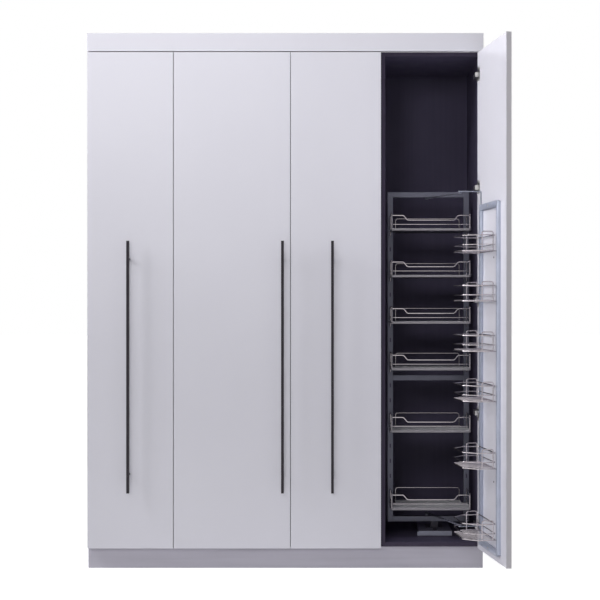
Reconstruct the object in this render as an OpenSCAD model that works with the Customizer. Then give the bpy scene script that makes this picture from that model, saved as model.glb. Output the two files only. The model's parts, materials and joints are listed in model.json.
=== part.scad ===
// Tall fitted kitchen unit with a pull-out pantry in its right-hand bay.
// Four bays stand on one plinth under one cornice. Three have plain doors and shelves.
// The fourth has wire baskets on its door and on a frame that the door draws forward.
// The origin is on the floor, at the wall, in the middle of the width. The front faces -Y.

/* [Unit] */
// Height of the whole unit
unit_h = 2360; // [2200:1:2500]
// Width of the first bay, on the left
bay_1_w = 380; // [300:1:600]
// Width of the second bay
bay_2_w = 515; // [400:1:600]
// Width of the third bay
bay_3_w = 400; // [300:1:600]
// Width of the pantry bay, on the right
bay_4_w = 450; // [440:1:600]
// Depth of the carcasses
carcass_d = 550; // [540:1:620]
// Height of the plinth
plinth_h = 96; // [60:1:150]
// How far the plinth stands behind the carcass fronts
plinth_setback = 5; // [2:1:60]
// Thickness of the plinth boards
plinth_t = 16; // [12:1:22]
// Height of the cornice
cornice_h = 80; // [40:1:150]

/* [Carcass] */
// Thickness of the carcass panels
panel_t = 18; // [16:1:20]
// Thickness of the back panels
back_t = 8; // [3:1:12]
// Gap between a back panel and the wall
back_recess = 9; // [5:1:20]
// Number of shelves in each plain bay
shelf_count = 4; // [2:1:6]
// How far the shelves stand behind the carcass front
shelf_setback = 20; // [5:1:60]
// Diameter of the shelf pins
pin_d = 5; // [3:0.5:6]
// Length of a shelf pin on each side of the panel's face
pin_reach = 8; // [6:1:10]
// How far the shelf pins stand from the shelf's front and back edges
pin_in = 50; // [30:1:100]

/* [Doors] */
// Thickness of the doors
door_t = 22; // [21:0.5:25]
// Gap between two doors
door_gap = 3; // [3:0.5:4]
// Gap between a door and the carcass front
door_clear = 2; // [2:0.5:3]
// Gap between the doors and the cornice
door_top_gap = 4; // [2:0.5:8]
// How far the doors hang below the carcass
door_drop = 4; // [0:1:10]
// Angle at which the pantry door stands open
door_open = 99; // [90:1:99]

/* [Handles] */
// Length of the bar handles
handle_l = 1104; // [400:1:1400]
// Width of a handle bar
handle_w = 12; // [8:1:20]
// Thickness of a handle bar
handle_t = 12; // [8:1:16]
// Gap between a handle bar and its door
handle_stand = 30; // [22:1:40]
// Height of a handle's lower end above the floor
handle_z = 340; // [150:1:700]
// Distance from a door's left edge to its handle, on the first, third and fourth door
handle_in = 184; // [40:1:190]
// Distance from the second door's right edge to its handle
handle_edge = 31.5; // [20:0.5:60]
// Diameter of a handle's posts
post_d = 10; // [6:1:12]
// Distance from a handle's end to its post
post_in = 80; // [20:1:200]

/* [Hinges] */
// Number of hinges on each door
hinge_count = 5; // [3:1:7]
// Distance from a door's ends to its outer hinges
hinge_end = 98; // [80:1:200]
// Distance from a door's hinged edge to the pivot
pivot_in = 7; // [6.5:0.1:7.3]
// Distance from a door's inner face to the pivot
pivot_depth = 16; // [15.5:0.1:16.5]
// Diameter of the pivot pin
hinge_pin_d = 3.2; // [2:0.2:3.6]
// Diameter of the barrel round the pivot pin
barrel_d = 5.6; // [5:0.1:5.8]
// Thickness of the strap that carries the barrel
strap_t = 3.5; // [2:0.1:3.6]
// Distance from the pivot to the far face of the hinge arm
arm_reach = 28; // [26:0.5:34]
// Thickness of the leg of the hinge arm
leg_t = 4.5; // [3:0.5:6]
// Height of the hinge arm
arm_h = 20; // [14:1:24]
// Length of the arm's body inside the carcass
arm_l = 58; // [40:1:80]
// Height of the hinge's mounting plate
plate_h = 50; // [40:1:60]
// Thickness of the hinge's mounting plate
plate_t = 2.5; // [1.5:0.5:4]
// Height of the flange round the hinge cup
flange_h = 60; // [44:1:66]
// Thickness of the flange round the hinge cup
flange_t = 1.2; // [0.8:0.1:1.3]

/* [Inner frame] */
// Height of the inner frame
frame_h = 1515; // [1200:1:1800]
// Height of the inner frame's underside above the floor
frame_z = 167; // [160:1:200]
// Width of the inner frame
frame_w = 374; // [340:1:374]
// Width of the inner frame's uprights
upright_w = 24; // [20:1:32]
// Height of the inner frame's rails
rail_h = 24; // [20:1:30]
// Depth of the inner frame
frame_d = 25; // [20:1:30]
// Sheet thickness of the inner frame
frame_wall = 2; // [1.5:0.5:3]
// How far the frame stands behind the carcass front when it is pulled out
frame_setback = 236; // [230:1:260]
// Height of the middle rail above the frame's underside
mid_rail_z = 649; // [600:1:700]
// Height of the first slot above the frame's underside
slot_first = 70; // [50:0.5:90]
// Distance between the slots
slot_pitch = 69.5; // [60:0.5:72]
// Least distance from the last slot to the frame's top
slot_last = 60; // [50:1:90]
// Width of a slot
slot_w = 6; // [5:0.5:8]
// Height of a slot
slot_h = 18; // [17:0.5:20]

/* [Wire baskets] */
// Diameter of the rim wire
rim_d = 6; // [4:0.5:8]
// Diameter of the side loops and the back guard
loop_d = 5; // [3.5:0.5:6]
// Diameter of the middle wire
mid_d = 4; // [3:0.5:4]
// Diameter of the wires in a door basket's base
base_d = 3.5; // [2.5:0.5:4]
// Depth of an inner basket in front of the frame
basket_front = 165; // [140:1:180]
// Depth of an inner basket behind the frame's front
basket_rear = 70; // [40:1:90]
// Distance between a rear part's wire and the frame's upright
rear_clear = 15; // [6:1:30]
// Thickness of an inner basket's tray
tray_t = 10; // [8:1:14]
// How far the tray stands out past the middles of its wires
tray_over = 4; // [3:0.5:6]
// Height of the middle wire above the tray's underside
mid_z = 28; // [20:1:34]
// Height of the front rim above the tray's underside, at its ends
rim_z = 68; // [56:0.5:70]
// How far the front rim dips in the middle
rim_dip = 21; // [5:1:30]
// Half the length of the dipped part
dip_half = 105; // [60:1:120]
// Length of the slope on each side of the dip
dip_slope = 17; // [10:1:30]
// Height of the side rails above the front rim
side_rise = 9; // [7:1:20]

/* [Door rack] */
// Height of the door rack
rack_h = 1476; // [1200:1:1800]
// Height of the door rack's underside above the floor
rack_z = 122; // [110:1:130]
// Width of the door rack
rack_w = 294; // [260:1:300]
// How far the rack's middle lies from the door's middle, towards the hinges
rack_shift = 7; // [0:1:12]
// Width of the rack's uprights
rack_upright_w = 25; // [20:1:30]
// Height of the rack's rails
rack_rail_h = 25; // [20:1:30]
// Depth of the rack
rack_d = 13; // [10:1:16]
// Sheet thickness of the rack
rack_wall = 1.5; // [1:0.5:2]
// Radius of the rack's outer corners
rack_corner = 9; // [4:0.5:12]
// Distance between the teeth of the rack
tooth_pitch = 17.375; // [16:0.125:18]
// Height of the first basket above the rack's underside
rack_first = 68; // [60:1:80]
// Least distance from the last tooth to the rack's top
rack_last = 30; // [28:1:60]
// Diameter of the door baskets' wires
door_wire_d = 5; // [4:0.5:6]
// Length of a door basket along the door
door_basket_l = 253; // [220:1:258]
// Depth of a door basket
door_basket_d = 132; // [100:1:134]
// Length of the basket's slanted corners along the door
corner_l = 50; // [30:1:60]
// Depth of the basket's slanted corners
corner_d = 52; // [30:1:60]
// Height of a door basket's middle wire above its base wire
door_mid_z = 26; // [15:1:35]
// Height of a door basket's rim above its base wire
door_rim_z = 65; // [50:1:80]
// How far the end hoops stand above the rim
hoop_rise = 15; // [10:1:25]
// Distance from the rack's face to the end hoop
hoop_in = 13; // [12:1:20]
// Width of the end hoop
hoop_w = 47; // [30:1:60]
// Distance between the wires in a door basket's base
door_base_pitch = 26; // [20:1:30]

/* [Linkage] */
// Distance from the door's hinged edge to the link's pivot
link_in = 60; // [59:1:61]
// Distance from the door's inner face to the link's pivot
link_out = 95; // [90:1:100]
// How far the link's pivot on the frame lies left of the frame's middle
link_left = 7.5; // [0:0.5:20]
// Thickness of the links and their brackets
link_t = 4; // [3:0.5:5]
// Width of the links
link_w = 14; // [10:1:18]
// Diameter of the link pins
link_pin_d = 8; // [6:0.5:9]
// Gap between the top rail and the upper link
upper_gap = 3; // [2:0.5:8]
// Gap between the bottom rail and the lower link
lower_gap = 12; // [6:0.5:14]
// How far the upper bracket's leg runs down beside the rack
leg_lap = 40; // [20:1:80]
// Length of the lower bracket's leg
lower_leg = 50; // [30:1:80]

/* [Runner] */
// Width of the runner
runner_w = 150; // [120:1:160]
// Height of the runner
runner_h = 21; // [18:1:25]
// Length of the runner
runner_l = 350; // [330:1:360]
// How far the runner stands behind the carcass front
runner_setback = 167; // [160:1:175]
// How far the runner's middle lies right of the bay's middle
runner_shift = 28; // [0:1:30]
// Sheet thickness of the runner
runner_wall = 2; // [1.5:0.5:3]
// Width of the runner's slot
runner_slot = 16; // [12:1:24]
// Length of the carriage
carriage_l = 100; // [80:1:110]
// Width of the carriage's foot under the frame
foot_w = 78; // [60:1:90]
// Width of the lobe that stands on the foot and carries the frame
lobe_w = 34; // [20:1:60]

/* [Wall brackets] */
// Height of the hole above the carcass top
bracket_hole_z = 22; // [15:1:30]
// Diameter of the hole
bracket_hole_d = 7; // [5:0.5:9]
// Width of a wall bracket
bracket_w = 40; // [25:1:60]
// Thickness of a wall bracket
bracket_t = 3; // [2:0.5:4]
// Length of a bracket's leg on the carcass
bracket_leg = 40; // [30:1:60]

/* [Hidden] */
$fn = 48;

// Colours, as the photo shows them.
white = [0.86, 0.86, 0.88];
charcoal = [0.2, 0.19, 0.22];
plinth_grey = [0.6, 0.6, 0.62];
black = [0.08, 0.08, 0.09];
nickel = [0.78, 0.78, 0.8];
frame_grey = [0.52, 0.54, 0.6];
tray_grey = [0.7, 0.7, 0.72];
wire_bright = [0.82, 0.82, 0.84];

// Clearances: a running fit on a radius, a slip between plates, and a loose fit.
run_fit = 0.05;
slip = 0.5;
loose = 0.4;

// The bays from left to right, and the sides on which their doors hang: 1 is right.
PANTRY = 3;
bay_w = [bay_1_w, bay_2_w, bay_3_w, bay_4_w];
hung = [-1, -1, 1, 1];
function sum_to(v, n) = n == 0 ? 0 : v[n - 1] + sum_to(v, n - 1);
unit_w = sum_to(bay_w, 4);
function left_of(i) = sum_to(bay_w, i) - unit_w / 2;
function mid_of(i) = left_of(i) + bay_w[i] / 2;

// Levels from the floor up.
carcass_top = unit_h - cornice_h;
carcass_h = carcass_top - plinth_h;
floor_z = plinth_h + panel_t;
door_z = plinth_h - door_drop;
door_h = carcass_top - door_top_gap - door_z;
shelf_t = panel_t;
shelf_step = (carcass_h - 2 * panel_t - shelf_count * shelf_t) / (shelf_count + 1) + shelf_t;
function shelf_z(k) = floor_z + k * shelf_step - shelf_t;

// Planes from front to back.
door_in_y = -carcass_d - door_clear;
door_out_y = door_in_y - door_t;
back_y = -back_recess - back_t;
shelf_d = carcass_d + back_y - shelf_setback;

// The doors' pivots.
pivot_y = door_in_y - pivot_depth;
function door_w(i) = bay_w[i] - door_gap;
function pivot_x(i) = hung[i] > 0
  ? left_of(i + 1) - door_gap / 2 - pivot_in
  : left_of(i) + door_gap / 2 + pivot_in;
hinge_step = (door_h - 2 * hinge_end) / (hinge_count - 1);
function hinge_z(k) = door_z + hinge_end + k * hinge_step;
panel_u = -(panel_t - door_gap / 2 - pivot_in);
front_v = pivot_depth + door_clear;
edge_wall = pivot_in - barrel_d / 2 - 0.8;
pocket_u = [-arm_reach - 1.5, pivot_in - edge_wall];
pocket_v = -barrel_d / 2 - 0.7;
cheek_t = 2;
cheek_z = arm_h / 2 + 0.6;
pocket_h = 2 * (cheek_z + cheek_t + loose);
post_hole_d = 4;

// The inner frame, where it stands when the door is open.
frame_x = mid_of(PANTRY);
frame_y = -carcass_d + frame_setback;
slot_x = (frame_w - upright_w) / 2;
hook_t = slot_w - 2;
hook_h = slot_h - 4;
hook_drop = 8;
hook_in = 5;
rear_half = frame_w / 2 - upright_w - rear_clear;
basket_y = frame_y - basket_front;
basket_l = basket_front + basket_rear;
side_y = basket_front - rim_d - slip * 8;
slot_count = floor((frame_h - slot_first - slot_last) / slot_pitch) + 1;
inner_rows = [for (share = [0.95, 0.79, 0.63, 0.47, 0.26, 0]) round(share * (slot_count - 1))];
function slot_z(k) = frame_z + slot_first + k * slot_pitch;
function inner_z(i) = slot_z(inner_rows[i]) + hook_drop;

// The rack on the door. Its middle is measured from the door's pivot.
rack_u = pivot_in - door_w(PANTRY) / 2 + rack_shift;
rack_v = pivot_depth;
tooth_u = door_basket_l / 2;
tooth_w = 7;
tooth_h = 9;
tooth_last = floor((rack_h - rack_first - rack_last) / tooth_pitch);
door_rows = [for (share = [0.873, 0.722, 0.57, 0.418, 0.215, 0]) round(share * tooth_last)];
function door_basket_z(i) = rack_z + rack_first + door_rows[i] * tooth_pitch;

// The linkage in plan: one pivot rides on the door, the other on the frame.
function turned(p, a) = [p[0] * cos(a) - p[1] * sin(a), p[0] * sin(a) + p[1] * cos(a)];
door_pivot = [pivot_x(PANTRY), pivot_y];
pin_local = [pivot_in - link_in, pivot_depth + link_out];
pin_open = door_pivot + turned(pin_local, door_open);
pin_shut = door_pivot + pin_local;
lug_open = [frame_x - link_left, frame_y + frame_d / 2];
link_l = norm(lug_open - pin_open);
lug_shut = [lug_open[0], pin_shut[1] + sqrt(pow(link_l, 2) - pow(lug_open[0] - pin_shut[0], 2))];
slide_travel = lug_shut[1] - lug_open[1];
angle_open = atan2(lug_open[1] - pin_open[1], lug_open[0] - pin_open[0]);
angle_shut = atan2(lug_shut[1] - pin_shut[1], lug_shut[0] - pin_shut[0]);
link_turn = angle_shut - angle_open + door_open;
top_rail_z = frame_z + frame_h - rail_h;
upper_z = top_rail_z - upper_gap - link_t;
lower_z = frame_z + rail_h + lower_gap;

// The runner on the bay's floor.
runner_x = frame_x + runner_shift;
runner_y = -carcass_d + runner_setback;
cap_t = 5;

// Shapes that several pieces share.

module box(x, y, z) {
  translate([x[0], y[0], z[0]]) cube([x[1] - x[0], y[1] - y[0], z[1] - z[0]]);
}

// Places children in a door's own plan: the pivot is at the origin, u runs along the
// door towards its hinged edge, and v runs from its outer face to its inner face.
module at_door(i) {
  translate([pivot_x(i), pivot_y, 0]) mirror([hung[i] > 0 ? 0 : 1, 0, 0]) children();
}

// Turns the pantry door's pieces to where the door stands open.
module opened() {
  translate([door_pivot[0], door_pivot[1], 0])
    rotate([0, 0, door_open])
      translate([-door_pivot[0], -door_pivot[1], 0]) children();
}

function unit(v) = v / norm(v);

// How far a wire runs past a corner: its end stops just inside the far side of the next wire.
flush = 0.3;
function past(a, b, c, d) =
  let (t = acos(max(-1, min(1, unit(b - a) * unit(c - b))))) (d / 2 - flush) * tan(t / 2);

// A straight round wire from a to b, longer by e0 at its start and e1 at its end.
module wire(a, b, d, e0 = 0, e1 = 0) {
  v = unit(b - a);
  translate(a - v * e0) rotate([0, acos(v[2]), atan2(v[1], v[0])])
    cylinder(d = d, h = norm(b - a) + e0 + e1);
}

// Straight round wires along a route of points, joined at its corners.
module wires(p, d, closed = false) {
  n = len(p);
  for (i = [0:(closed ? n : n - 1) - 1]) {
    j = (i + 1) % n;
    wire(p[i], p[j], d,
      closed || i > 0 ? past(p[(i + n - 1) % n], p[i], p[j], d) : 0,
      closed || i < n - 2 ? past(p[i], p[j], p[(i + 2) % n], d) : 0);
  }
}

// The carcasses.

module bay_sides(i) {
  for (s = [0, 1]) {
    x = s == 0 ? left_of(i) : left_of(i + 1) - panel_t;
    difference() {
      box([x, x + panel_t], [-carcass_d, 0], [plinth_h, carcass_top]);
      if (i != PANTRY) pins_of(i, s, 2 * run_fit);
    }
  }
}

module bay_top_bottom(i) {
  for (z = [plinth_h, carcass_top - panel_t])
    box([left_of(i) + panel_t, left_of(i + 1) - panel_t], [-carcass_d, 0], [z, z + panel_t]);
}

module bay_back(i) {
  box([left_of(i) + panel_t, left_of(i + 1) - panel_t], [back_y, back_y + back_t],
    [floor_z, carcass_top - panel_t]);
}

module bay_shelves(i) {
  for (k = [1:shelf_count])
    box([left_of(i) + panel_t + slip, left_of(i + 1) - panel_t - slip],
      [-carcass_d + shelf_setback, back_y], [shelf_z(k), shelf_z(k) + shelf_t]);
}

// The pins on one side of one bay; s is 0 on the left and 1 on the right.
module pins_of(i, s, grow = 0) {
  x = s == 0 ? left_of(i) + panel_t : left_of(i + 1) - panel_t;
  for (k = [1:shelf_count]) for (y = [-carcass_d + shelf_setback + pin_in, back_y - pin_in])
    translate([x - pin_reach - grow / 2, y, shelf_z(k) - pin_d / 2])
      rotate([0, 90, 0]) cylinder(d = pin_d + grow, h = 2 * pin_reach + grow);
}

module shelf_pins() {
  color(nickel) for (i = [0:2]) for (s = [0, 1]) pins_of(i, s);
}

module plinth_front() {
  color(plinth_grey) box([-unit_w / 2, unit_w / 2],
    [-carcass_d + plinth_setback, -carcass_d + plinth_setback + plinth_t], [0, plinth_h]);
}

// The rail along the wall and the cross rails under the carcass sides.
module plinth_rails() {
  color(plinth_grey) {
    box([-unit_w / 2, unit_w / 2], [-plinth_t, 0], [0, plinth_h]);
    for (i = [0:4]) {
      x = i == 0 ? left_of(0) : i == 4 ? left_of(4) - plinth_t : left_of(i) - plinth_t / 2;
      box([x, x + plinth_t], [-carcass_d + plinth_setback + plinth_t, -plinth_t], [0, plinth_h]);
    }
  }
}

module cornice_front() {
  color(white) box([-unit_w / 2, unit_w / 2], [door_out_y, door_in_y], [carcass_top, unit_h]);
}

module cornice_returns() {
  color(white) for (x = [-unit_w / 2, unit_w / 2 - panel_t])
    box([x, x + panel_t], [door_in_y, 0], [carcass_top, unit_h]);
}

// One angle bracket behind the cornice on each bay, with a hole for a wall screw.
module wall_brackets() {
  color(nickel) for (i = [0:3]) translate([mid_of(i), 0, carcass_top]) difference() {
    union() {
      box([-bracket_w / 2, bracket_w / 2], [-bracket_leg, 0], [0, bracket_t]);
      box([-bracket_w / 2, bracket_w / 2], [-bracket_t, 0], [0, bracket_hole_z + 16]);
    }
    translate([0, 1, bracket_hole_z]) rotate([90, 0, 0])
      cylinder(d = bracket_hole_d, h = bracket_t + 2);
  }
}

// The doors, with their handles and hinges.

// The pockets for the hinges, the post holes of the handle and the rack's screw holes.
module door_panel(i) {
  difference() {
    at_door(i) box([pivot_in - door_w(i), pivot_in], [pivot_depth - door_t, pivot_depth],
      [door_z, door_z + door_h]);
    at_door(i) for (k = [0:hinge_count - 1])
      box(pocket_u, [pocket_v, pivot_depth + 1], [hinge_z(k) - pocket_h / 2, hinge_z(k) + pocket_h / 2]);
    if (i == PANTRY) at_door(i) rack_screw_holes();
    handle_at(i) for (z = [post_in, handle_l - post_in])
      translate([0, -1, z]) rotate([-90, 0, 0]) cylinder(d = post_hole_d + 2 * run_fit, h = door_t + 2);
  }
}

function handle_x(i) = i == 1
  ? left_of(2) - door_gap / 2 - handle_edge
  : left_of(i) + door_gap / 2 + handle_in;

// Places children at a handle's lower end, on the door's outer face.
module handle_at(i) {
  translate([handle_x(i), door_out_y, handle_z]) children();
}

// A square bar on two posts, each held by a screw through the door.
module door_handle(i) {
  color(black) handle_at(i) {
    box([-handle_w / 2, handle_w / 2], [-handle_stand - handle_t, -handle_stand], [0, handle_l]);
    for (z = [post_in, handle_l - post_in]) translate([0, 0, z]) {
      translate([0, -handle_stand - 1, 0]) rotate([-90, 0, 0]) cylinder(d = post_d, h = handle_stand + 1);
      translate([0, -1, 0]) rotate([-90, 0, 0]) cylinder(d = post_hole_d, h = door_t + 1);
      translate([0, door_t, 0]) rotate([-90, 0, 0]) cylinder(d = 8, h = 1.2);
    }
  }
}

// The half of each hinge that is screwed to the carcass: plate, body, leg and barrel.
module hinge_arm(i) {
  body_v = front_v + 4;
  at_door(i) for (k = [0:hinge_count - 1]) translate([0, 0, hinge_z(k)]) difference() {
    union() {
      box([panel_u - plate_t, panel_u], [body_v + 3, body_v + arm_l - 5], [-plate_h / 2, plate_h / 2]);
      box([-arm_reach, panel_u - plate_t + 0.5], [body_v, body_v + arm_l], [-arm_h / 2, arm_h / 2]);
      box([-arm_reach, -arm_reach + leg_t], [-barrel_d / 2, body_v + 1], [-arm_h / 2, arm_h / 2]);
      box([-arm_reach, 0], [-barrel_d / 2, -barrel_d / 2 + strap_t], [-arm_h / 2, arm_h / 2]);
      translate([0, 0, -arm_h / 2]) cylinder(d = barrel_d, h = arm_h);
    }
    translate([0, 0, -arm_h]) cylinder(d = hinge_pin_d + 2 * run_fit, h = 2 * arm_h);
  }
}

module hinge_arms() {
  color(nickel) for (i = [0:3]) hinge_arm(i);
}

// The half of each hinge that is let into the door: flange, cheeks and the pin between.
module hinge_cups(i) {
  color(nickel) at_door(i) for (k = [0:hinge_count - 1]) translate([0, 0, hinge_z(k)]) {
    difference() {
      box([pocket_u[0] - 4.5, pocket_u[1] - 0.2], [pivot_depth, pivot_depth + flange_t],
        [-flange_h / 2, flange_h / 2]);
      box([pocket_u[0], pocket_u[1] + 1], [pivot_depth - 1, pivot_depth + flange_t + 1],
        [-cheek_z, cheek_z]);
    }
    for (s = [-1, 1]) translate([0, 0, s * (cheek_z + cheek_t / 2)])
      box([pocket_u[0] + loose, pocket_u[1] - loose], [pocket_v + loose, pivot_depth + flange_t],
        [-cheek_t / 2, cheek_t / 2]);
    translate([0, 0, -cheek_z - cheek_t]) cylinder(d = hinge_pin_d, h = 2 * (cheek_z + cheek_t));
  }
}

// The runner on the pantry's floor.

module runner_housing() {
  x = runner_w / 2;
  color(frame_grey) translate([runner_x, runner_y, floor_z]) difference() {
    box([-x, x], [cap_t, runner_l], [0, runner_h]);
    box([-x + runner_wall, x - runner_wall], [cap_t - 1, runner_l - runner_wall],
      [runner_wall, runner_h - runner_wall]);
    box([-runner_slot / 2, runner_slot / 2], [cap_t - 1, runner_l - 10], [runner_wall, runner_h + 1]);
  }
}

module runner_front_cap() {
  x = runner_w / 2;
  color(frame_grey) translate([runner_x, runner_y, floor_z]) {
    box([-x, x], [0, cap_t], [0, runner_h]);
    box([-x - 8, -x], [0, 12], [0, runner_h - 2]);
  }
}

// A slider inside the runner, a neck through its slot, and the foot under the frame.
module runner_carriage() {
  neck_w = runner_slot - 2 * slip - 1;
  color(frame_grey) translate([frame_x, frame_y, floor_z]) {
    box([runner_shift - runner_w / 2 + 12, runner_shift + runner_w / 2 - 12], [2, carriage_l],
      [runner_wall + slip, runner_h - runner_wall - slip]);
    box([runner_shift - neck_w / 2, runner_shift + neck_w / 2], [2, carriage_l],
      [runner_h / 2, runner_h + slip + 2]);
    box([runner_shift - foot_w / 2, runner_shift + foot_w / 2], [2, carriage_l],
      [runner_h + slip, runner_h + slip + 4]);
    box([runner_shift - lobe_w / 2, runner_shift + lobe_w / 2], [8, frame_d - 4],
      [runner_h + slip, frame_z - floor_z]);
  }
}

// The inner frame: two slotted channels and three tubes.

module frame_uprights() {
  color(frame_grey) for (s = [-1, 1])
    translate([frame_x + s * slot_x - upright_w / 2, frame_y, frame_z]) {
      translate([0, frame_wall, 0]) rotate([90, 0, 0]) linear_extrude(frame_wall) difference() {
        square([upright_w, frame_h]);
        for (k = [0:slot_count - 1])
          translate([(upright_w - slot_w) / 2, slot_z(k) - frame_z - slot_h / 2]) square([slot_w, slot_h]);
      }
      for (x = [0, upright_w - frame_wall])
        box([x, x + frame_wall], [frame_wall, frame_d], [0, frame_h]);
    }
}

module frame_rails() {
  x = frame_w / 2 - upright_w;
  color(frame_grey) for (z = [0, mid_rail_z, frame_h - rail_h])
    translate([frame_x, frame_y, frame_z + z]) difference() {
      box([-x, x], [0, frame_d], [0, rail_h]);
      box([-x - 1, x + 1], [frame_wall, frame_d - frame_wall], [frame_wall, rail_h - frame_wall]);
    }
}

// The trays of the inner baskets. Each narrows where it passes between the uprights, and
// its wide part ends just in front of the wires that carry the hooks.
module inner_trays() {
  w = slot_x + tray_over;
  rear_w = rear_half + tray_over;
  side_end = side_y - loop_d / 2 - loose;
  corner = 6;
  color(tray_grey) for (i = [0:5]) translate([frame_x, basket_y, inner_z(i)])
    linear_extrude(tray_t) polygon([
      [-w + corner, -tray_over], [w - corner, -tray_over], [w, corner - tray_over],
      [w, side_end], [rear_w, side_end],
      [rear_w, basket_l + tray_over], [-rear_w, basket_l + tray_over],
      [-rear_w, side_end], [-w, side_end], [-w, corner - tray_over]
    ]);
}

// The wires of one inner basket: a gallery in front and at the sides, and a guard at the
// back. They stand on the tray, and the gallery hooks into the uprights.
module inner_basket(i) {
  half = slot_x;
  rail_z = rim_z + side_rise;
  slope = dip_half + dip_slope;
  dip_z = rim_z - rim_dip;
  color(wire_bright) translate([frame_x, basket_y, inner_z(i)]) {
    wires([[-half, side_y, mid_z], [-half, 0, mid_z], [half, 0, mid_z], [half, side_y, mid_z]], mid_d);
    wire([-dip_half, 0, dip_z], [dip_half, 0, dip_z], rim_d, 1, 1);
    for (s = [-1, 1]) {
      wire([s * dip_half, 0, dip_z], [s * slope, 0, rim_z], rim_d - 1);
      wire([s * slope, 0, rim_z], [s * half, 0, rim_z], rim_d, 1, 1);
      wires([[s * half, 0, tray_t], [s * half, 0, rail_z], [s * half, side_y, rail_z],
        [s * half, side_y, -hook_drop - slot_h / 2 + 2]], loop_d);
      for (z = [-hook_drop, slot_pitch - hook_drop])
        box([s * half - hook_t / 2, s * half + hook_t / 2],
          [side_y - 1, basket_front + frame_wall + hook_in],
          [z - slot_h / 2, z - slot_h / 2 + hook_h]);
    }
    wires([[-rear_half, basket_l, tray_t], [-rear_half, basket_l, rim_z],
      [rear_half, basket_l, rim_z], [rear_half, basket_l, tray_t]], loop_d);
  }
}

// The rack that is screwed to the pantry door, and its baskets.

// Places children on the rack: u runs along the door from the rack's middle, and v runs
// out from the door's inner face.
module on_rack() {
  opened() at_door(PANTRY) translate([rack_u, rack_v, 0]) children();
}

module rack_uprights() {
  color(frame_grey) on_rack() for (s = [-1, 1]) {
    outer = s * rack_w / 2;
    inner = s * (rack_w / 2 - rack_upright_w);
    low = min(outer, inner);
    difference() {
      union() {
        translate([low, rack_d, rack_z]) rotate([90, 0, 0]) linear_extrude(rack_wall) difference() {
          square([rack_upright_w, rack_h]);
          for (k = [-1 : tooth_last])
            translate([s * tooth_u - low - tooth_w / 2, rack_first + k * tooth_pitch - tooth_h / 2])
              square([tooth_w, tooth_h]);
        }
        for (u = [low, low + rack_upright_w - rack_wall])
          box([u, u + rack_wall], [0, rack_d - rack_wall], [rack_z, rack_z + rack_h]);
      }
      rack_corner_cut(s, -1);
      rack_corner_cut(s, 1);
    }
  }
}

// What is cut away at one outer corner of the rack: s picks the side and end the height.
module rack_corner_cut(s, end) {
  corner_u = s * rack_w / 2;
  corner_z = end > 0 ? rack_z + rack_h : rack_z;
  middle_u = corner_u - s * rack_corner;
  middle_z = corner_z - end * rack_corner;
  difference() {
    box([min(middle_u, corner_u + s), max(middle_u, corner_u + s)], [-1, rack_d + 1],
      [min(middle_z, corner_z + end), max(middle_z, corner_z + end)]);
    translate([middle_u, -2, middle_z]) rotate([-90, 0, 0]) cylinder(r = rack_corner, h = rack_d + 4);
  }
}

rack_screw_d = 4.4;

module rack_rails() {
  x = rack_w / 2 - rack_upright_w;
  color(frame_grey) on_rack() for (z = [rack_z, rack_z + rack_h - rack_rail_h]) difference() {
    box([-x, x], [0, rack_d], [z, z + rack_rail_h]);
    box([-x - 1, x + 1], [rack_wall, rack_d - rack_wall], [z + rack_wall, z + rack_rail_h - rack_wall]);
    translate([0, -1, z + rack_rail_h / 2])
      rotate([-90, 0, 0]) cylinder(d = rack_screw_d + loose, h = rack_d + 2);
  }
}

// The screws' places, in the rack's own plan.
module at_rack_screws() {
  for (z = [rack_z, rack_z + rack_h - rack_rail_h])
    translate([0, 0, z + rack_rail_h / 2]) children();
}

module rack_screw_holes() {
  translate([rack_u, rack_v, 0]) at_rack_screws()
    translate([0, -12, 0]) rotate([-90, 0, 0]) cylinder(d = rack_screw_d + 2 * run_fit, h = 13);
}

module rack_screws() {
  color(nickel) on_rack() at_rack_screws() {
    translate([0, -11, 0]) rotate([-90, 0, 0]) cylinder(d = rack_screw_d, h = 11 + rack_d);
    translate([0, rack_d, 0]) rotate([-90, 0, 0]) cylinder(d = 9, h = 2.2);
  }
}

module door_basket(i) {
  half = door_basket_l / 2;
  wall_v = rack_d + door_wire_d / 2 + slip;
  far_v = wall_v + door_basket_d - door_wire_d;
  hoop_v = rack_d + hoop_in;
  hoop_z = door_rim_z + hoop_rise;
  most = floor((half - 8) / door_base_pitch);
  base_z = (door_wire_d + base_d) / 2 - 1;
  color(wire_bright) on_rack() translate([0, 0, door_basket_z(i)]) {
    for (z = [0, door_mid_z, door_rim_z]) {
      d = z == door_mid_z ? door_wire_d - 1 : door_wire_d;
      wire([-half, wall_v, z], [half, wall_v, z], d, d / 2 - flush, d / 2 - flush);
      wire([corner_l - half, far_v, z], [half - corner_l, far_v, z], d, 1, 1);
      for (s = [-1, 1]) {
        wire([s * half, wall_v, z], [s * half, far_v - corner_d, z], d, d / 2 - flush, 1);
        wire([s * half, far_v - corner_d, z], [s * (half - corner_l), far_v, z], d - 1);
      }
    }
    for (s = [-1, 1]) {
      u = s * half;
      wires([[u, hoop_v, 0], [u, hoop_v, hoop_z], [u, hoop_v + hoop_w, hoop_z],
        [u, hoop_v + hoop_w, 0]], door_wire_d);
      box([u - 1.5, u + 1.5], [rack_d - rack_wall - 3, wall_v + 4], [-tooth_h / 2, 1]);
      box([u - 1.5, u + 1.5], [rack_d, wall_v + 4], [door_rim_z - 4, door_rim_z + 1]);
    }
    for (k = [-most:most]) {
      u = k * door_base_pitch;
      end = far_v - max(0, abs(u) - half + corner_l) * corner_d / corner_l;
      wire([u, wall_v, base_z], [u, end, base_z], base_d);
    }
  }
}

// The linkage: a bracket on the door, a pin, and a link to the inner frame, twice.

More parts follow.
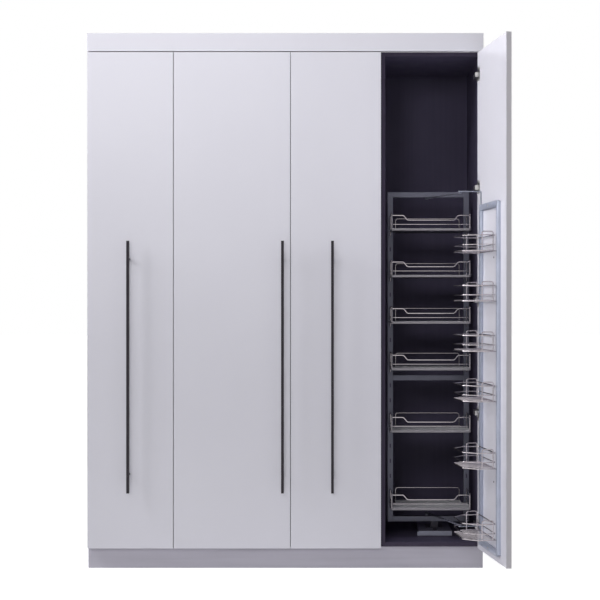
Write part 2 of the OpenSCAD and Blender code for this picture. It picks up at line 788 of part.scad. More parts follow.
// One bracket with its pin; up is 1 where the pin points up and -1 where it points down.
module link_bracket(z, up, leg) {
  u = pin_local[0];
  v = pin_local[1];
  side = rack_u + rack_w / 2;
  opened() at_door(PANTRY) {
    difference() {
      union() {
        box([u - link_w / 2, u + link_w / 2], [pivot_depth, v], [z, z + link_t]);
        translate([u, v, z]) cylinder(d = link_w, h = link_t);
        box([side, side + 8], [pivot_depth, pivot_depth + link_t], [min(leg, z), max(leg, z + link_t)]);
      }
    }
    translate([u, v, up > 0 ? z + link_t - 1 : z - link_t - 2 * slip])
      cylinder(d = link_pin_d, h = link_t + 2 * slip + 1);
    translate([u, v, up > 0 ? z + 2 * link_t + 2 * slip : z - link_t - 2 * slip - 2])
      cylinder(d = link_pin_d + 5, h = 2);
  }
}

module link_brackets() {
  color(nickel) {
    link_bracket(upper_z + link_t + slip, -1, rack_z + rack_h - leg_lap);
    link_bracket(lower_z - link_t - slip, 1, lower_z - lower_leg);
  }
}

// One link, drawn along X from its eye to its boss, and turned to where it lies.
module link_arm(z, boss_z) {
  color(frame_grey) translate([pin_open[0], pin_open[1], 0]) rotate([0, 0, angle_open]) {
    difference() {
      union() {
        translate([0, -link_w / 2, z]) cube([link_l, link_w, link_t]);
        for (x = [0, link_l]) translate([x, 0, z]) cylinder(d = link_w + 4, h = link_t);
      }
      translate([0, 0, z - 1]) cylinder(d = link_pin_d + 2 * run_fit, h = link_t + 2);
    }
    translate([link_l, 0, min(z + 1, boss_z)]) cylinder(d = link_w, h = abs(boss_z - z - 1));
  }
}

module upper_link() {
  link_arm(upper_z, top_rail_z - loose);
}

module lower_link() {
  link_arm(lower_z, frame_z + rail_h + loose);
}

color(charcoal) bay_sides(0);  // bay_1_sides
color(charcoal) bay_top_bottom(0);  // bay_1_top_bottom
color(charcoal) bay_back(0);  // bay_1_back
color(charcoal) bay_shelves(0);  // bay_1_shelves
color(charcoal) bay_sides(1);  // bay_2_sides
color(charcoal) bay_top_bottom(1);  // bay_2_top_bottom
color(charcoal) bay_back(1);  // bay_2_back
color(charcoal) bay_shelves(1);  // bay_2_shelves
color(charcoal) bay_sides(2);  // bay_3_sides
color(charcoal) bay_top_bottom(2);  // bay_3_top_bottom
color(charcoal) bay_back(2);  // bay_3_back
color(charcoal) bay_shelves(2);  // bay_3_shelves
color(charcoal) bay_sides(PANTRY);  // pantry_sides
color(charcoal) bay_top_bottom(PANTRY);  // pantry_top_bottom
color(charcoal) bay_back(PANTRY);  // pantry_back
shelf_pins();
plinth_front();
plinth_rails();
cornice_front();
cornice_returns();
wall_brackets();
hinge_arms();
color(white) door_panel(0);  // door_1_panel
color(white) door_panel(1);  // door_2_panel
color(white) door_panel(2);  // door_3_panel
color(white) opened() door_panel(PANTRY);  // door_4_panel
door_handle(0);  // door_1_handle
door_handle(1);  // door_2_handle
door_handle(2);  // door_3_handle
opened() door_handle(PANTRY);  // door_4_handle
hinge_cups(0);  // door_1_hinge_cups
hinge_cups(1);  // door_2_hinge_cups
hinge_cups(2);  // door_3_hinge_cups
opened() hinge_cups(PANTRY);  // door_4_hinge_cups
runner_housing();
runner_front_cap();
runner_carriage();
frame_uprights();
frame_rails();
inner_trays();
inner_basket(0);  // inner_basket_1
inner_basket(1);  // inner_basket_2
inner_basket(2);  // inner_basket_3
inner_basket(3);  // inner_basket_4
inner_basket(4);  // inner_basket_5
inner_basket(5);  // inner_basket_6
rack_uprights();
rack_rails();
rack_screws();
door_basket(0);  // door_basket_1
door_basket(1);  // door_basket_2
door_basket(2);  // door_basket_3
door_basket(3);  // door_basket_4
door_basket(4);  // door_basket_5
door_basket(5);  // door_basket_6
link_brackets();
upper_link();
lower_link();
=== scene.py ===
import json
import math

import bmesh
import bpy
from mathutils import Matrix, Vector


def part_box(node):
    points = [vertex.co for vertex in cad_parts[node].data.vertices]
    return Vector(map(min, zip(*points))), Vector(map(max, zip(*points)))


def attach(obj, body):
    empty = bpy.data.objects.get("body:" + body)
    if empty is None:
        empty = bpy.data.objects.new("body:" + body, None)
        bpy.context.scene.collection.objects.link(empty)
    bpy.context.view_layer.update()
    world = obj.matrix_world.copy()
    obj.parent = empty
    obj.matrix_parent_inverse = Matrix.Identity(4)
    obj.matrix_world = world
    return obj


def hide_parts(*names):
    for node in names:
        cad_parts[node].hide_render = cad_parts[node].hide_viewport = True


# A tall kitchen unit: three plain doors, and a pantry bay whose open door draws wire
# baskets forward. Places are in metres: +X right, +Y into the wall, +Z up.

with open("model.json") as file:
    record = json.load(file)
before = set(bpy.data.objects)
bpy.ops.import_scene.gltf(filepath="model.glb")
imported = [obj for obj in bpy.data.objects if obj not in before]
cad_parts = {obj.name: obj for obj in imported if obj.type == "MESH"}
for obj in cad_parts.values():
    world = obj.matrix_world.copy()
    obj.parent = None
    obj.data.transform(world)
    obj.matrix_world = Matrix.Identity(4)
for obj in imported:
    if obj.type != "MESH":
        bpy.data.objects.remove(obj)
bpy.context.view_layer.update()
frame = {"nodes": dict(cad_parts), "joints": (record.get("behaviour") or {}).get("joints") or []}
nodes = frame["nodes"]
joints = {joint["name"]: joint for joint in frame["joints"]}

DOORS = ("door_1", "door_2", "door_3", "door_4")
BASKETS = range(1, 7)
DOOR_OPEN = 99
PIVOT_IN = 0.007
PIVOT_DEPTH = 0.016
PANTRY_DOOR_W = 0.447
RACK_SHIFT = 0.007
RACK_DEPTH = 0.013
HINGE_Z = (0.190, 0.687, 1.184, 1.681, 2.178)


# Where things are.

def place_of(joint_name):
    """The point that a joint turns about."""
    return Vector(joints[joint_name]["pos_m"])


def door_plan(door, turned=True):
    """Takes points from a door's own plan to their place in the unit.

    In that plan the pivot is at the origin, x runs towards the hinged edge, y runs from
    the outer face to the inner face, and z is the height above the floor.
    """
    pivot = place_of(door + "_hinge")
    hung_right = door in ("door_3", "door_4")
    flip = Matrix.Identity(4) if hung_right else Matrix.Scale(-1, 4, (1, 0, 0))
    swing = Matrix.Rotation(math.radians(DOOR_OPEN if door == "door_4" and turned else 0), 4, "Z")
    return Matrix.Translation((pivot.x, pivot.y, 0)) @ swing @ flip


# Finishes.

def new_finish(name, colour, roughness, metallic=0.0):
    """A material with one shader, and the nodes that the finish's pattern is built on."""
    material = bpy.data.materials.new(name)
    material.use_nodes = True
    tree = material.node_tree
    shader = tree.nodes["Principled BSDF"]
    shader.inputs["Base Color"].default_value = (*colour, 1)
    shader.inputs["Roughness"].default_value = roughness
    shader.inputs["Metallic"].default_value = metallic
    return material, tree, shader


def pattern(tree, scale, stretch=(1, 1, 1), detail=3.0):
    """Noise in the object's own coordinates, drawn out along an axis by stretch."""
    coordinates = tree.nodes.new("ShaderNodeTexCoord")
    mapping = tree.nodes.new("ShaderNodeMapping")
    mapping.inputs["Scale"].default_value = stretch
    noise = tree.nodes.new("ShaderNodeTexNoise")
    noise.inputs["Scale"].default_value = scale
    noise.inputs["Detail"].default_value = detail
    tree.links.new(coordinates.outputs["Object"], mapping.inputs["Vector"])
    tree.links.new(mapping.outputs["Vector"], noise.inputs["Vector"])
    return noise.outputs["Fac"]


def tint(tree, shader, factor, low, high):
    """Lets the base colour wander between two colours."""
    ramp = tree.nodes.new("ShaderNodeValToRGB")
    ramp.color_ramp.elements[0].position = 0.3
    ramp.color_ramp.elements[0].color = (*low, 1)
    ramp.color_ramp.elements[1].position = 0.7
    ramp.color_ramp.elements[1].color = (*high, 1)
    tree.links.new(factor, ramp.inputs["Fac"])
    tree.links.new(ramp.outputs["Color"], shader.inputs["Base Color"])


def gloss(tree, shader, factor, low, high):
    """Lets the roughness wander between two values."""
    spread = tree.nodes.new("ShaderNodeMapRange")
    spread.inputs["From Min"].default_value = 0.3
    spread.inputs["From Max"].default_value = 0.7
    spread.inputs["To Min"].default_value = low
    spread.inputs["To Max"].default_value = high
    tree.links.new(factor, spread.inputs["Value"])
    tree.links.new(spread.outputs["Result"], shader.inputs["Roughness"])


def relief(tree, shader, height, strength, distance):
    """Raises the surface slightly where the pattern is bright."""
    bump = tree.nodes.new("ShaderNodeBump")
    bump.inputs["Strength"].default_value = strength
    bump.inputs["Distance"].default_value = distance
    tree.links.new(height, bump.inputs["Height"])
    tree.links.new(bump.outputs["Normal"], shader.inputs["Normal"])


def white_lacquer():
    """Sprayed lacquer with a soft gloss: nearly even, with a fine orange peel."""
    material, tree, shader = new_finish("white_lacquer", (0.77, 0.76, 0.84), 0.2)
    tint(tree, shader, pattern(tree, 1.4), (0.755, 0.745, 0.825), (0.785, 0.775, 0.855))
    gloss(tree, shader, pattern(tree, 9), 0.17, 0.23)
    relief(tree, shader, pattern(tree, 420, detail=2), 0.03, 0.0002)
    shader.inputs["Coat Weight"].default_value = 0.2
    shader.inputs["Coat Roughness"].default_value = 0.08
    return material


def grey_edge_band():
    """The grey band glued round the doors' edges."""
    material, tree, shader = new_finish("grey_edge_band", (0.65, 0.635, 0.68), 0.42)
    tint(tree, shader, pattern(tree, 35, stretch=(1, 1, 0.1)), (0.635, 0.62, 0.665), (0.665, 0.65, 0.695))
    gloss(tree, shader, pattern(tree, 80), 0.36, 0.48)
    relief(tree, shader, pattern(tree, 300, stretch=(1, 1, 0.05)), 0.08, 0.0001)
    return material


def charcoal_melamine():
    """Dark faced board with a faint upright grain."""
    material, tree, shader = new_finish("charcoal_melamine", (0.082, 0.072, 0.121), 0.6)
    shader.inputs["Specular IOR Level"].default_value = 0.25
    grain = pattern(tree, 60, stretch=(1, 1, 0.03), detail=5)
    tint(tree, shader, grain, (0.078, 0.068, 0.115), (0.086, 0.076, 0.127))
    gloss(tree, shader, pattern(tree, 14), 0.54, 0.66)
    relief(tree, shader, grain, 0.05, 0.0002)
    return material


def charcoal_edge_strip():
    """The darker strip on the edges of the melamine boards."""
    material, tree, shader = new_finish("charcoal_edge_strip", (0.043, 0.034, 0.060), 0.6)
    shader.inputs["Specular IOR Level"].default_value = 0.25
    grain = pattern(tree, 70, stretch=(1, 1, 0.05))
    tint(tree, shader, grain, (0.040, 0.031, 0.056), (0.046, 0.037, 0.064))
    gloss(tree, shader, pattern(tree, 30), 0.54, 0.66)
    relief(tree, shader, grain, 0.05, 0.0001)
    return material


def grey_plinth_board():
    """Faced board, with a fine grain along its length and faint scuffs."""
    material, tree, shader = new_finish("grey_plinth_board", (0.54, 0.52, 0.60), 0.45)
    grain = pattern(tree, 55, stretch=(0.04, 1, 1), detail=4)
    tint(tree, shader, grain, (0.515, 0.496, 0.573), (0.565, 0.544, 0.627))
    gloss(tree, shader, pattern(tree, 22), 0.38, 0.55)
    relief(tree, shader, grain, 0.06, 0.0002)
    return material


def black_powder_coat():
    """Black powder coat with its fine grit."""
    material, tree, shader = new_finish("black_powder_coat", (0.020, 0.015, 0.021), 0.48)
    shader.inputs["Specular IOR Level"].default_value = 0.25
    grit = pattern(tree, 900, detail=2)
    tint(tree, shader, pattern(tree, 30), (0.018, 0.013, 0.019), (0.023, 0.018, 0.024))
    gloss(tree, shader, grit, 0.40, 0.56)
    relief(tree, shader, grit, 0.25, 0.0002)
    return material


def powder_coat(name, colour, metallic, specular):
    """Powder coat over steel, with its fine grit and a slight drift of colour."""
    material, tree, shader = new_finish(name, colour, 0.38, metallic)
    shader.inputs["Specular IOR Level"].default_value = specular
    grit = pattern(tree, 800, detail=2)
    darker = tuple(part * 0.93 for part in colour)
    lighter = tuple(part * 1.07 for part in colour)
    tint(tree, shader, pattern(tree, 18), darker, lighter)
    gloss(tree, shader, grit, 0.32, 0.46)
    relief(tree, shader, grit, 0.2, 0.0002)
    return material


def satin_nickel():
    """Plated steel, brushed across, for hinges, brackets and screws."""
    material, tree, shader = new_finish("satin_nickel", (0.62, 0.61, 0.60), 0.3, 1.0)
    brushing = pattern(tree, 500, stretch=(1, 1, 0.08), detail=3)
    tint(tree, shader, pattern(tree, 40), (0.57, 0.56, 0.56), (0.67, 0.66, 0.65))
    gloss(tree, shader, brushing, 0.27, 0.36)
    relief(tree, shader, brushing, 0.02, 0.0001)
    return material


def pale_tray_board():
    """Light grey faced board, with a soft print and rubbed spots."""
    material, tree, shader = new_finish("pale_tray_board", (0.78, 0.77, 0.80), 0.42)
    tint(tree, shader, pattern(tree, 7), (0.76, 0.75, 0.78), (0.80, 0.79, 0.82))
    gloss(tree, shader, pattern(tree, 45), 0.36, 0.5)
    relief(tree, shader, pattern(tree, 350), 0.05, 0.0001)
    return material


def tray_edge_band():
    """The darker band round the edges of the trays."""
    material, tree, shader = new_finish("tray_edge_band", (0.30, 0.285, 0.31), 0.4)
    tint(tree, shader, pattern(tree, 40, stretch=(0.1, 1, 1)), (0.285, 0.27, 0.295), (0.315, 0.30, 0.325))
    gloss(tree, shader, pattern(tree, 70), 0.34, 0.46)
    relief(tree, shader, pattern(tree, 300), 0.05, 0.0001)
    return material


def bright_wire():
    """Chromed wire, a little cloudy where it was drawn."""
    material, tree, shader = new_finish("bright_wire", (0.40, 0.37, 0.39), 0.2, 1.0)
    tint(tree, shader, pattern(tree, 60), (0.37, 0.34, 0.36), (0.43, 0.40, 0.42))
    gloss(tree, shader, pattern(tree, 150), 0.15, 0.27)
    relief(tree, shader, pattern(tree, 700), 0.05, 0.0001)
    return material


LACQUER = white_lacquer()
EDGE_BAND = grey_edge_band()
MELAMINE = charcoal_melamine()
MELAMINE_EDGE = charcoal_edge_strip()
PLINTH_BOARD = grey_plinth_board()
HANDLE_COAT = black_powder_coat()
SLATE = powder_coat("slate_powder_coat", (0.152, 0.154, 0.202), 0.25, 0.45)
PALE_SLATE = powder_coat("pale_slate_powder_coat", (0.42, 0.45, 0.56), 0.25, 0.5)
DARK_SLATE = powder_coat("dark_slate_powder_coat", (0.20, 0.19, 0.27), 0.1, 0.3)
CARRIAGE_COAT = powder_coat("carriage_powder_coat", (0.05, 0.046, 0.066), 0.1, 0.3)
# A paler copy of the pale slate coat for the runner's front cap, brightened because little light reaches it
# low down: painted light.
PAINTED_LIGHT_CAP_COAT = powder_coat("cap_coat_painted_light", (0.48, 0.49, 0.60), 0.1, 0.5)
LINK_COAT = powder_coat("link_zinc", (0.29, 0.31, 0.37), 0.6, 0.5)
NICKEL = satin_nickel()
TRAY = pale_tray_board()
TRAY_EDGE = tray_edge_band()
# The trays' undersides take a dark coat: painted shade under the trays.
PAINTED_SHADE_UNDER_TRAYS = powder_coat("tray_underside_painted_shade", (0.075, 0.068, 0.09), 0.0, 0.3)
WIRE = bright_wire()


def dress(node, finish):
    """Gives a CAD node its finish."""
    nodes[node].data.materials.clear()
    nodes[node].data.materials.append(finish)


# Making pieces.

def weigh_normals(mesh):
    """Keeps flat faces flat in the shading, and lets the roundings between them blend."""
    totals = [Vector() for _ in mesh.vertices]
    for face in mesh.polygons:
        for index in face.vertices:
            totals[index] += face.normal * face.area
    mesh.normals_split_custom_set_from_vertices([total.normalized() for total in totals])


def settle(name, shape, finishes, body, node=None, smooth_angle=35):
    """Makes a piece of a bmesh, gives it its finishes, and puts it on its body.

    Without an angle for its creases, the shading follows the larger faces.
    """
    mesh = bpy.data.meshes.new(name)
    shape.to_mesh(mesh)
    shape.free()
    mesh.shade_smooth()
    if smooth_angle:
        mesh.set_sharp_from_angle(angle=math.radians(smooth_angle))
    else:
        weigh_normals(mesh)
    piece = bpy.data.objects.new(name, mesh)
    bpy.context.collection.objects.link(piece)
    for finish in finishes:
        mesh.materials.append(finish)
    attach(piece, body)
    if node:
        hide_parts(node)
    return piece


def side_on(direction):
    """Picks the faces that run along a direction, such as the edges of a board."""
    return lambda face: abs(face.normal.dot(direction)) < 0.5


def facing(direction):
    """Picks the faces that look in a direction."""
    return lambda face: face.normal.dot(direction) > 0.5


def eased(node, finish, body, radius=0.0008, others=()):
    """A copy of a node with its edges rounded over, in the node's place.

    Each of the others is a finish and a test that picks the faces which take it.
    """
    shape = bmesh.new()
    shape.from_mesh(nodes[node].data)
    bmesh.ops.remove_doubles(shape, verts=shape.verts, dist=0.00001)
    bmesh.ops.dissolve_limit(shape, angle_limit=math.radians(1), verts=shape.verts, edges=shape.edges)
    corners = [
        line for line in shape.edges
        if len(line.link_faces) == 2 and line.calc_face_angle(0) > math.radians(30)
    ]
    bmesh.ops.bevel(
        shape, geom=corners, offset=radius, offset_type="OFFSET", segments=2,
        profile=0.5, affect="EDGES", clamp_overlap=True, material=-1,
    )
    # Where two roundings meet on a thin wall, faces of no width are left.
    bmesh.ops.dissolve_degenerate(shape, dist=0.00002, edges=shape.edges)
    shape.normal_update()
    for number, (_, picked) in enumerate(others, 1):
        for face in shape.faces:
            if picked(face):
                face.material_index = number
    finishes = [finish] + [other for other, _ in others]
    return settle(node + "_eased", shape, finishes, body, node, None)


def screws(name, places, radius, height, finish, body):
    """A set of screw heads as one piece: places holds a point and a direction for each."""
    shape = bmesh.new()
    for place, along in places:
        one = bmesh.new()
        bmesh.ops.create_cone(
            one, cap_ends=True, segments=20, radius1=radius, radius2=radius * 0.82, depth=height,
        )
        one.faces.ensure_lookup_table()
        top = max(one.faces, key=lambda face: face.calc_center_median().z)
        bmesh.ops.inset_individual(one, faces=[top], thickness=radius * 0.4)
        bmesh.ops.translate(one, verts=top.verts, vec=(0, 0, -height * 0.5))
        turn = Vector((0, 0, 1)).rotation_difference(along).to_matrix().to_4x4()
        bmesh.ops.transform(one, matrix=Matrix.Translation(place) @ turn, verts=one.verts)
        spare = bpy.data.meshes.new("spare")
        one.to_mesh(spare)
        one.free()
        shape.from_mesh(spare)
        bpy.data.meshes.remove(spare)
    return settle(name, shape, [finish], body)


def rounded(points, bend, closed, steps=5):
    """A route whose corners are replaced by arcs of the radius bend."""
    points = [Vector(point) for point in points]
    count = len(points)
    route = []
    for i, corner in enumerate(points):
        if not closed and i in (0, count - 1):
            route.append(corner)
            continue
        into = (corner - points[i - 1]).normalized()
        out = (points[(i + 1) % count] - corner).normalized()
        turn = into.angle(out)
        reach = min(
            bend * math.tan(turn / 2),
            (corner - points[i - 1]).length * 0.49,
            (points[(i + 1) % count] - corner).length * 0.49,
        )
        start, end = corner - into * reach, corner + out * reach
        for k in range(steps + 1):
            t = k / steps
            # A quadratic curve through the corner's tangents is a round bend here.
            route.append(start * (1 - t) ** 2 + corner * 2 * t * (1 - t) + end * t ** 2)
    return route


def wirework(name, wires, finish, body, node, place=Matrix.Identity(4)):
    """A welded wire piece. Each wire is its points, its diameter, its bend and if it closes."""
    curve = bpy.data.curves.new(name, "CURVE")
    curve.dimensions = "3D"
    curve.bevel_depth = 1.0
    curve.bevel_resolution = 3
    curve.use_fill_caps = True
    for points, diameter, bend, closed in wires:
        route = rounded(points, bend, closed)
        spline = curve.splines.new("POLY")
        spline.points.add(len(route) - 1)
        for point, where in zip(spline.points, route):
            point.co = (*(place @ where), 1)
            point.radius = diameter / 2
        spline.use_cyclic_u = closed
    rough = bpy.data.objects.new(name + "_route", curve)
    bpy.context.collection.objects.link(rough)
    bpy.context.view_layer.update()
    mesh = bpy.data.meshes.new_from_object(rough.evaluated_get(bpy.context.evaluated_depsgraph_get()))
    bpy.data.objects.remove(rough)
    shape = bmesh.new()
    shape.from_mesh(mesh)
    bpy.data.meshes.remove(mesh)
    bmesh.ops.remove_doubles(shape, verts=shape.verts, dist=0.000005)
    bmesh.ops.recalc_face_normals(shape, faces=shape.faces)
    return settle(name, shape, [finish], body, node)


# The carcasses, plinth and cornice.

ACROSS = Vector((1, 0, 0))
UPWARD = Vector((0, 0, 1))


def board_edge(thickness):
    """The dark strip, on the edges of a carcass board of that thickness direction."""
    return [(MELAMINE_EDGE, side_on(thickness))]


for bay in ("bay_1", "bay_2", "bay_3", "pantry"):
    eased(bay + "_sides", MELAMINE, "cabinet", 0.0006, board_edge(ACROSS))
    eased(bay + "_top_bottom", MELAMINE, "cabinet", 0.0006, board_edge(UPWARD))
    dress(bay + "_back", MELAMINE)
    if bay != "pantry":
        eased(bay + "_shelves", MELAMINE, "cabinet", 0.0006, board_edge(UPWARD))
dress("shelf_pins", NICKEL)
dress("plinth_rails", PLINTH_BOARD)
eased("plinth_front", PLINTH_BOARD, "cabinet", 0.001)
eased("cornice_front", LACQUER, "cabinet", 0.001)
eased("cornice_returns", LACQUER, "cabinet", 0.001)
eased("wall_brackets", NICKEL, "cabinet", 0.0006)


# The doors, their handles and hinges.

for door in DOORS:
    thickness = door_plan(door).to_3x3() @ Vector((0, 1, 0))
    eased(door + "_panel", LACQUER, door, 0.001, [(EDGE_BAND, side_on(thickness))])
    eased(door + "_handle", HANDLE_COAT, door, 0.0012)
    eased(door + "_hinge_cups", NICKEL, door, 0.0004)
eased("hinge_arms", NICKEL, "cabinet", 0.0006)

CUP_FACE = PIVOT_DEPTH + 0.0012
CUP_SCREW_IN = -0.0135
CUP_SCREW_UP = 0.0245
PLATE_FACE = -0.012
PLATE_SCREW_BACK = 0.052
PLATE_SCREW_UP = 0.018
SCREW_H = 0.0018

for door in DOORS:
    plan = door_plan(door)
    shut = door_plan(door, turned=False)
    inward = (plan.to_3x3() @ Vector((0, 1, 0))).normalized()
    sideways = (shut.to_3x3() @ Vector((-1, 0, 0))).normalized()
    cup_screws = [
        (plan @ Vector((CUP_SCREW_IN, CUP_FACE + SCREW_H / 3, z + up)), inward)
        for z in HINGE_Z for up in (-CUP_SCREW_UP, CUP_SCREW_UP)
    ]
    screws(door + "_cup_screws", cup_screws, 0.0038, SCREW_H, NICKEL, door)
    plate_screws = [
        (shut @ Vector((PLATE_FACE - SCREW_H / 3, PLATE_SCREW_BACK, z + up)), sideways)
        for z in HINGE_Z for up in (-PLATE_SCREW_UP, PLATE_SCREW_UP)
    ]
    screws(door + "_plate_screws", plate_screws, 0.004, SCREW_H, NICKEL, "cabinet")


# The pull-out: runner, frame and inner baskets.

FRAME_X = 0.6475
SLOT_X = 0.175
UPRIGHT_INNER_HALF = 0.0105
FRONT_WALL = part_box("frame_uprights")[0][1] + 0.001
CATCH_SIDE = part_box("runner_front_cap")[0][0] + 0.0079


def in_painted_slot_shade(place):
    """True behind the front wall and between the side walls of one of the slotted uprights, where the faces
    inside take painted shade.
    """
    return place.y > FRONT_WALL and abs(abs(place.x - FRAME_X) - SLOT_X) < UPRIGHT_INNER_HALF


eased("runner_housing", DARK_SLATE, "cabinet", 0.0007)
# The runner's front cap takes the paler cap coat, which is painted light.
eased("runner_front_cap", PAINTED_LIGHT_CAP_COAT, "cabinet", 0.0006,
      [(CARRIAGE_COAT, lambda face: face.calc_center_median().x < CATCH_SIDE)])
eased("runner_carriage", CARRIAGE_COAT, "pull_out", 0.0008)
# The faces inside the hollow uprights, seen through the slots, take the dark carriage coat: painted shade in
# the slots.
eased("frame_uprights", SLATE, "pull_out", 0.0009,
      [(CARRIAGE_COAT, lambda face: in_painted_slot_shade(face.calc_center_median()))])
eased("frame_rails", SLATE, "pull_out", 0.0012)

# The downward faces of the trays take the dark underside coat, which is painted shade.
eased("inner_trays", TRAY, "pull_out", 0.0012,
      [(TRAY_EDGE, side_on(UPWARD)), (PAINTED_SHADE_UNDER_TRAYS, facing(-UPWARD))])

BASKET_Y = -0.479
SIDE_Y = 0.155
REAR_HALF = 0.148
BASKET_BACK = 0.235
TRAY_TOP = 0.010
MID_Z = 0.028
RIM_Z = 0.068
RIM_DIP = 0.021
DIP_HALF = 0.105
DIP_SLOPE = 0.017
RAIL_Z = 0.077
HOOK_LOW = 0.017
HOOK_H = 0.014
HOOK_END = 0.172
HOOK_TIP = 0.002
SLOT_PITCH = 0.0695
RIM_RETURN = 0.012
RIM_WIRE = 0.0054
MID_WIRE = 0.0037
LOOP_WIRE = 0.005
HOOK_WIRE = 0.0038
LOOP_Y = 0.002
FOOT_D = 0.0095
FOOT_H = 0.0014


def inner_basket(number):
    """The wires of one inner basket: a gallery, a guard at the back, and four hooks."""
    node = f"inner_basket_{number}"
    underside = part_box(node)[0][2] + HOOK_LOW
    slope = DIP_HALF + DIP_SLOPE
    dip = RIM_Z - RIM_DIP
    middle = [(-SLOT_X, SIDE_Y, MID_Z), (-SLOT_X, 0, MID_Z), (SLOT_X, 0, MID_Z), (SLOT_X, SIDE_Y, MID_Z)]
    rim = [
        (-SLOT_X, RIM_RETURN, RIM_Z), (-SLOT_X, 0, RIM_Z), (-slope, 0, RIM_Z), (-DIP_HALF, 0, dip),
        (DIP_HALF, 0, dip), (slope, 0, RIM_Z), (SLOT_X, 0, RIM_Z), (SLOT_X, RIM_RETURN, RIM_Z),
    ]
    guard = [
        (-REAR_HALF, BASKET_BACK, TRAY_TOP), (-REAR_HALF, BASKET_BACK, RIM_Z),
        (REAR_HALF, BASKET_BACK, RIM_Z), (REAR_HALF, BASKET_BACK, TRAY_TOP),
    ]
    wires = [
        (middle, MID_WIRE, 0.009, False),
        (rim, RIM_WIRE, 0.012, False),
        (guard, LOOP_WIRE, 0.012, False),
    ]
    feet = [(-REAR_HALF, BASKET_BACK), (REAR_HALF, BASKET_BACK), (-SLOT_X, LOOP_Y), (SLOT_X, LOOP_Y)]
    for x, y in feet:
        wires.append(([(x, y, TRAY_TOP), (x, y, TRAY_TOP + FOOT_H)], FOOT_D, 0, False))
    for side in (-SLOT_X, SLOT_X):
        loop = [
            (side, LOOP_Y, TRAY_TOP), (side, LOOP_Y, RAIL_Z), (side, SIDE_Y, RAIL_Z),
            (side, SIDE_Y, HOOK_TIP - HOOK_LOW),
        ]
        wires.append((loop, LOOP_WIRE, 0.011, False))
        for low in (-HOOK_LOW, SLOT_PITCH - HOOK_LOW):
            top, tip, end = low + HOOK_H - HOOK_TIP, low + HOOK_TIP, HOOK_END - HOOK_TIP
            hook = [(side, SIDE_Y, top), (side, end, top), (side, end, tip)]
            wires.append((hook, HOOK_WIRE, 0.003, False))
    place = Matrix.Translation((FRAME_X, BASKET_Y, underside))
    wirework(node + "_wire", wires, WIRE, "pull_out", node, place)


for number in BASKETS:
    inner_basket(number)


# The rack on the pantry door and its baskets.

eased("rack_uprights", PALE_SLATE, "door_4", 0.0003)
eased("rack_rails", PALE_SLATE, "door_4", 0.001)
dress("rack_screws", NICKEL)

DOOR_HALF = 0.1265
WALL_Y = RACK_DEPTH + 0.003
FAR_Y = WALL_Y + 0.127
CORNER_L = 0.05
CORNER_D = 0.052
DOOR_MID_Z = 0.026
DOOR_RIM_Z = 0.065
HOOP_Z = 0.08
HOOP_IN = 0.026
HOOP_OUT = 0.073
DOOR_BASE_PITCH = 0.026
DOOR_RING_WIRE = 0.005
DOOR_MID_WIRE = 0.004
DOOR_THIN_WIRE = 0.003
DOOR_HOOK_Y = RACK_DEPTH - 0.004
TOOTH_HALF = 0.0045


def door_basket(number):
    """One basket of the door's rack, with slanted corners and a hoop at each end."""
    node = f"door_basket_{number}"
    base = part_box(node)[0][2] + TOOTH_HALF
    wires = []
    for height, diameter in ((0, DOOR_RING_WIRE), (DOOR_MID_Z, DOOR_MID_WIRE), (DOOR_RIM_Z, DOOR_RING_WIRE)):
        ring = [
            (-DOOR_HALF, WALL_Y, height), (DOOR_HALF, WALL_Y, height),
            (DOOR_HALF, FAR_Y - CORNER_D, height), (DOOR_HALF - CORNER_L, FAR_Y, height),
            (CORNER_L - DOOR_HALF, FAR_Y, height), (-DOOR_HALF, FAR_Y - CORNER_D, height),
        ]
        wires.append((ring, diameter, 0.012, True))
    for end in (-DOOR_HALF, DOOR_HALF):
        hoop = [(end, HOOP_IN, 0), (end, HOOP_IN, HOOP_Z), (end, HOOP_OUT, HOOP_Z), (end, HOOP_OUT, 0)]
        hook = [(end, WALL_Y, -0.001), (end, DOOR_HOOK_Y, -0.001), (end, DOOR_HOOK_Y, -0.003)]
        wires.append((hoop, DOOR_RING_WIRE, 0.009, False))
        wires.append((hook, DOOR_THIN_WIRE, 0.001, False))
    for k in range(-4, 5):
        x = k * DOOR_BASE_PITCH
        end = FAR_Y - max(0, abs(x) - DOOR_HALF + CORNER_L) * CORNER_D / CORNER_L
        across = [(x, WALL_Y + 0.001, DOOR_THIN_WIRE), (x, end - 0.001, DOOR_THIN_WIRE)]
        wires.append((across, DOOR_THIN_WIRE, 0, False))
    rack_x = PIVOT_IN - PANTRY_DOOR_W / 2 + RACK_SHIFT
    place = door_plan("door_4") @ Matrix.Translation((rack_x, PIVOT_DEPTH, base))
    wirework(node + "_wire", wires, WIRE, "door_4", node, place)


for number in BASKETS:
    door_basket(number)


# The linkage.

eased("link_brackets", LINK_COAT, "door_4", 0.0007)
eased("upper_link", SLATE, "upper_link", 0.0008)
eased("lower_link", SLATE, "lower_link", 0.0008)


# Floor, light and camera.

def looked_at(tree):
    """One for rays that come from the camera, a reflection or a see-through part."""
    ray = tree.nodes.new("ShaderNodeLightPath")
    seen = ray.outputs["Is Camera Ray"]
    for kind in ("Is Glossy Ray", "Is Transmission Ray"):
        wider = tree.nodes.new("ShaderNodeMath")
        wider.operation = "MAXIMUM"
        tree.links.new(seen, wider.inputs[0])
        tree.links.new(ray.outputs[kind], wider.inputs[1])
        seen = wider.outputs["Value"]
    return seen


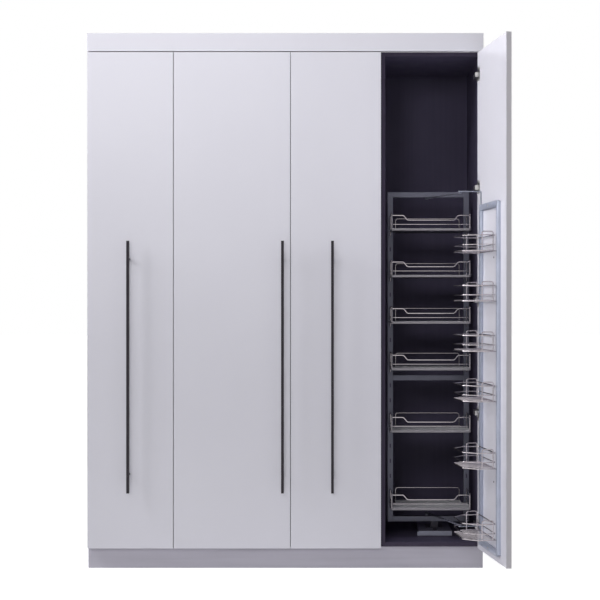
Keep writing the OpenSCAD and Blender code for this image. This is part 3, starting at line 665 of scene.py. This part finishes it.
def stage_floor():
    """A white floor that keeps the unit's shadow and runs out of sight."""
    shape = bmesh.new()
    bmesh.ops.create_grid(shape, x_segments=1, y_segments=1, size=40)
    mesh = bpy.data.meshes.new("floor")
    shape.to_mesh(mesh)
    shape.free()
    floor = bpy.data.objects.new("floor", mesh)
    bpy.context.collection.objects.link(floor)
    material = bpy.data.materials.new("white_floor")
    material.use_nodes = True
    tree = material.node_tree
    shader = tree.nodes["Principled BSDF"]
    shader.inputs["Base Color"].default_value = (0.9, 0.9, 0.9, 1)
    shader.inputs["Roughness"].default_value = 1.0
    shader.inputs["Specular IOR Level"].default_value = 0.0
    glow = tree.nodes.new("ShaderNodeEmission")
    both = tree.nodes.new("ShaderNodeAddShader")
    level = tree.nodes.new("ShaderNodeMath")
    level.operation = "MULTIPLY"
    level.inputs[1].default_value = 0.88
    tree.links.new(looked_at(tree), level.inputs[0])
    tree.links.new(level.outputs["Value"], glow.inputs["Strength"])
    tree.links.new(shader.outputs["BSDF"], both.inputs[0])
    tree.links.new(glow.outputs["Emission"], both.inputs[1])
    tree.links.new(both.outputs["Shader"], tree.nodes["Material Output"].inputs["Surface"])
    floor.data.materials.append(material)


def white_surround():
    """White to the camera and in reflections, and a pale grey to everything else."""
    world = bpy.data.worlds.new("white_surround")
    bpy.context.scene.world = world
    world.use_nodes = True
    tree = world.node_tree
    background = tree.nodes["Background"]
    background.inputs["Color"].default_value = (1, 1, 1, 1)
    level = tree.nodes.new("ShaderNodeMapRange")
    level.inputs["To Min"].default_value = 0.17
    level.inputs["To Max"].default_value = 1.0
    tree.links.new(looked_at(tree), level.inputs["Value"])
    tree.links.new(level.outputs["Result"], background.inputs["Strength"])


def soft_light(name, place, aim, size, power, spread=180, mirrored=True):
    """A panel of light, aimed at a point. A smaller spread, in degrees, makes a beam.

    A light that isn't mirrored leaves no bright patch on the glossy doors.
    """
    lamp = bpy.data.lights.new(name, "AREA")
    lamp.shape = "RECTANGLE"
    lamp.size, lamp.size_y = size
    lamp.energy = power
    lamp.spread = math.radians(spread)
    light = bpy.data.objects.new(name, lamp)
    light.location = place
    light.visible_glossy = mirrored
    light.rotation_euler = (Vector(aim) - Vector(place)).to_track_quat("-Z", "Y").to_euler()
    bpy.context.collection.objects.link(light)


def photograph_camera():
    """A camera in front of the pantry, level, with the view shifted to the unit."""
    data = bpy.data.cameras.new("camera")
    data.sensor_width = 36
    data.lens = 76.98
    data.shift_x = -0.0667
    data.shift_y = 0.005
    data.clip_end = 100
    camera = bpy.data.objects.new("camera", data)
    camera.location = (0.241, -6.219, 1.172)
    camera.rotation_euler = (math.radians(90), 0, 0)
    bpy.context.collection.objects.link(camera)
    bpy.context.scene.camera = camera


stage_floor()
white_surround()
soft_light("left_side", (-3.2, -1.25, 3.0), (0.87, -0.8, 1.9), (1.4, 1.4), 90)
soft_light("front_high", (-0.7, -4.9, 2.7), (0.4, -0.4, 1.5), (1.0, 1.0), 37, mirrored=False)
soft_light("right_far", (4, -4, 2.2), (0.2, -0.6, 1.2), (2.2, 2.4), 12)
soft_light("left_beam", (-4.2, -1.05, 2.7), (0.87, -0.8, 2.0), (0.7, 0.7), 3.2, spread=38, mirrored=False)
soft_light("high_beam", (-1.2, -2.4, 4.2), (0.1, -0.6, 2.25), (1.6, 0.8), 4.8, spread=60, mirrored=False)
photograph_camera()
bpy.context.scene.view_settings.view_transform = "Standard"
